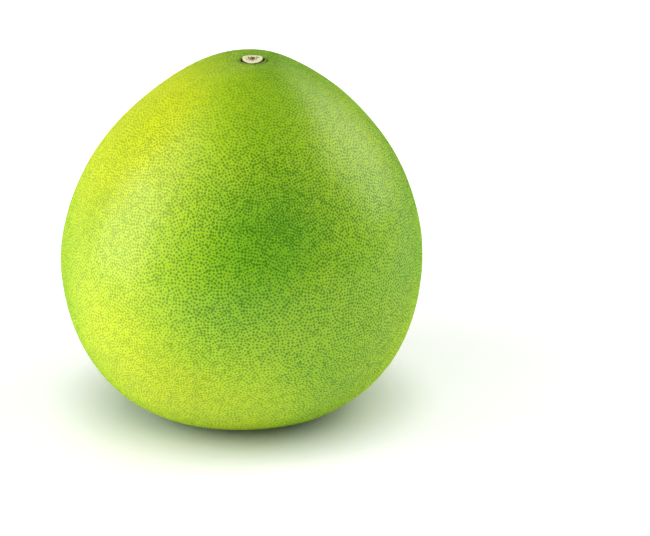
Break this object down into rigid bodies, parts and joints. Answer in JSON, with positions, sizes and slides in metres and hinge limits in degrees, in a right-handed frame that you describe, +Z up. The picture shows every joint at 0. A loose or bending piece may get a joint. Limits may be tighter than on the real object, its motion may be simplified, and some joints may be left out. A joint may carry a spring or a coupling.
{
  "type": "pomelo",
  "caption": "Whole green pomelo with a domed crown, a cut stem in a shallow hollow and a small flat underneath that it rests on.",
  "frame": {"origin": "middle of the flat at the blossom end that the fruit rests on", "axes": "+Z up, from the blossom end to the stem; +X to the viewer's right and the way the crown leans a little; -Y to the front, which the cut stem's round side faces"},
  "size_m": [0.1532, 0.1532, 0.1538],
  "materials": {
    "peel": "satin",
    "calyx": "matte",
    "cut_stem": "matte"
  },
  "bodies": {
    "root": {"fruit": "peel", "calyx": "calyx", "stem_stub": "cut_stem"}
  },
  "joints": []
}
